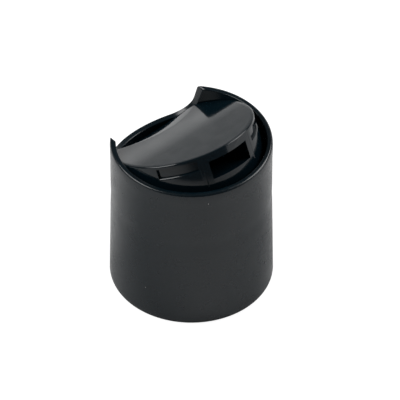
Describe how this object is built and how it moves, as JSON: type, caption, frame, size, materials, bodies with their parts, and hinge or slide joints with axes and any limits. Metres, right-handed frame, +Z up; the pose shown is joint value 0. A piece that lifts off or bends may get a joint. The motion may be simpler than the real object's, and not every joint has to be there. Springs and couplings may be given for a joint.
{
  "type": "disc top cap",
  "caption": "Smooth cylindrical screw-on dispensing cap with a disc that tilts in its top to open a front spout, and a thumb scoop in the rear rim.",
  "frame": {"origin": "centre of the base, where the foot of the skirt stands", "axes": "+Z up along the neck's axis, spout towards -Y, thumb scoop towards +Y, tilt axis along X"},
  "size_m": [0.0276, 0.0276, 0.0345],
  "materials": {
    "shell": "black polypropylene, smooth, moulded satin gloss",
    "disc": "black polypropylene, polished gloss on the disc's top"
  },
  "bodies": {
    "shell": {"cap_shell": "shell"},
    "disc": {"tilting_disc": "disc"}
  },
  "joints": [
    {"name": "disc_tilt", "type": "hinge", "parent": "shell", "child": "disc", "pos_m": [0, 0.0009, 0.025], "axis": [1, 0, 0], "range_deg": [0, 25.4]}
  ]
}
